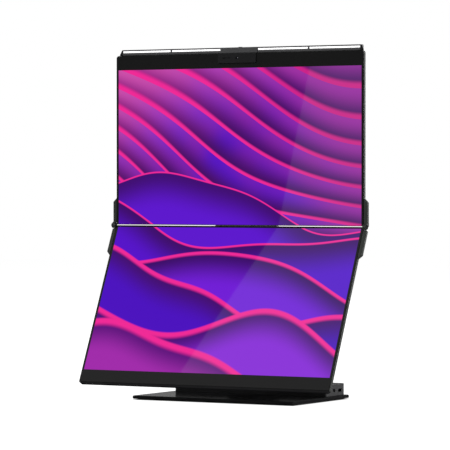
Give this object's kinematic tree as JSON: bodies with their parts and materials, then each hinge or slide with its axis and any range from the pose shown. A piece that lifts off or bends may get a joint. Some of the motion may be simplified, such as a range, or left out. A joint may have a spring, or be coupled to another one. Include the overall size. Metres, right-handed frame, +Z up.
{
  "type": "dual stacked monitor",
  "caption": "Two wide screens stacked on side fold hinges, on a tilting neck over a flat base with a socket hub; a light bar and camera pod top the upper screen.",
  "frame": {"origin": "on the table, at the middle of the object's footprint box at rest", "axes": "+X to the right as seen from the front, +Y to the back, +Z up"},
  "size_m": [0.5542, 0.2634, 0.6676],
  "materials": {
    "steel_black": "fine textured black powder coat",
    "alloy_black": "satin black anodised",
    "shell_grey": "satin dark grey anodised",
    "black_plastic": "fine moulded texture",
    "hub_plastic": "fine moulded texture",
    "rubber": "matte",
    "cover_glass": "glossy, with the picture behind it",
    "cell": "polarised",
    "light_guide": "clear acrylic",
    "sheet_steel": "plain",
    "screw_steel": "dark zinc",
    "connector_steel": "bright nickel",
    "board": "solder mask",
    "diffuser": "opal",
    "bar_grey": "satin dark grey",
    "lens": "coated lens"
  },
  "bodies": {
    "base": {"base_plate": "steel_black", "base_feet": "rubber", "hub_shell": "hub_plastic", "hub_board": "board", "side_usb_a_port": "connector_steel", "side_audio_jack": "black_plastic", "rear_usb_a_ports": "connector_steel", "rear_usb_c_port": "connector_steel", "rear_hdmi_ports": "connector_steel", "rear_lan_port": "connector_steel", "power_inlet": "connector_steel", "hub_screws": "screw_steel", "neck_column": "alloy_black", "neck_cover": "black_plastic", "neck_bolts": "screw_steel"},
    "lower_screen": {"tilt_bracket": "alloy_black", "tilt_axle": "screw_steel", "tilt_disc_springs": "screw_steel", "tilt_nut": "screw_steel", "tilt_caps": "black_plastic", "bracket_screws": "screw_steel", "lower_shell": "shell_grey", "lower_glass": "cover_glass", "lower_lcd_cell": "cell", "lower_light_guide": "light_guide", "lower_panel_plate": "sheet_steel", "lower_led_strip": "board", "lower_chin_trim": "black_plastic", "lower_speakers": "black_plastic", "lower_main_board": "board", "lower_rear_cover": "black_plastic", "lower_cover_screws": "screw_steel", "lower_arm_left": "alloy_black", "lower_arm_right": "alloy_black", "fold_pins": "screw_steel", "fold_washers": "screw_steel"},
    "upper_screen": {"upper_arm_left": "alloy_black", "upper_arm_right": "alloy_black", "upper_shell": "shell_grey", "upper_glass": "cover_glass", "upper_lcd_cell": "cell", "upper_light_guide": "light_guide", "upper_panel_plate": "sheet_steel", "upper_led_strip": "board", "upper_driver_board": "board", "upper_rear_cover": "black_plastic", "upper_cover_screws": "screw_steel", "light_bar_channels": "bar_grey", "light_bar_diffusers": "diffuser", "light_bar_led_boards": "board", "light_bar_end_caps": "black_plastic", "light_bar_centre": "bar_grey", "camera_pod": "black_plastic", "camera_board": "board", "camera_lens": "lens"},
    "power_button": {"power_button": "black_plastic"},
    "lower_menu_button": {"lower_menu_button": "black_plastic"},
    "upper_menu_button": {"upper_menu_button": "black_plastic"},
    "lamp_button": {"lamp_button": "black_plastic"},
    "camera_shutter": {"camera_shutter": "black_plastic"}
  },
  "joints": [
    {"name": "tilt", "type": "hinge", "parent": "base", "child": "lower_screen", "pos_m": [0, 0.04069, 0.30968], "axis": [-1, 0, 0], "range_deg": [-5, 35]},
    {"name": "fold", "type": "hinge", "parent": "lower_screen", "child": "upper_screen", "pos_m": [0, 0.00259, 0.32848], "axis": [1, 0, 0], "range_deg": [-24.85, 155.15]},
    {"name": "shutter_slide", "type": "slide", "parent": "upper_screen", "child": "camera_shutter", "axis": [1, 0, 0], "range_m": [0, 0.014]},
    {"name": "power_button_press", "type": "slide", "parent": "base", "child": "power_button", "axis": [0, -1, 0], "range_m": [0, 0.0008], "stiffness_N_per_m": 400},
    {"name": "lamp_button_press", "type": "slide", "parent": "upper_screen", "child": "lamp_button", "axis": [0, 0, -1], "range_m": [0, 0.0008], "stiffness_N_per_m": 400},
    {"name": "upper_menu_button_press", "type": "slide", "parent": "upper_screen", "child": "upper_menu_button", "axis": [0, -1, 0], "range_m": [0, 0.0008], "stiffness_N_per_m": 400},
    {"name": "lower_menu_button_press", "type": "slide", "parent": "lower_screen", "child": "lower_menu_button", "axis": [0, -0.9074, 0.4202], "range_m": [0, 0.0008], "stiffness_N_per_m": 400}
  ]
}
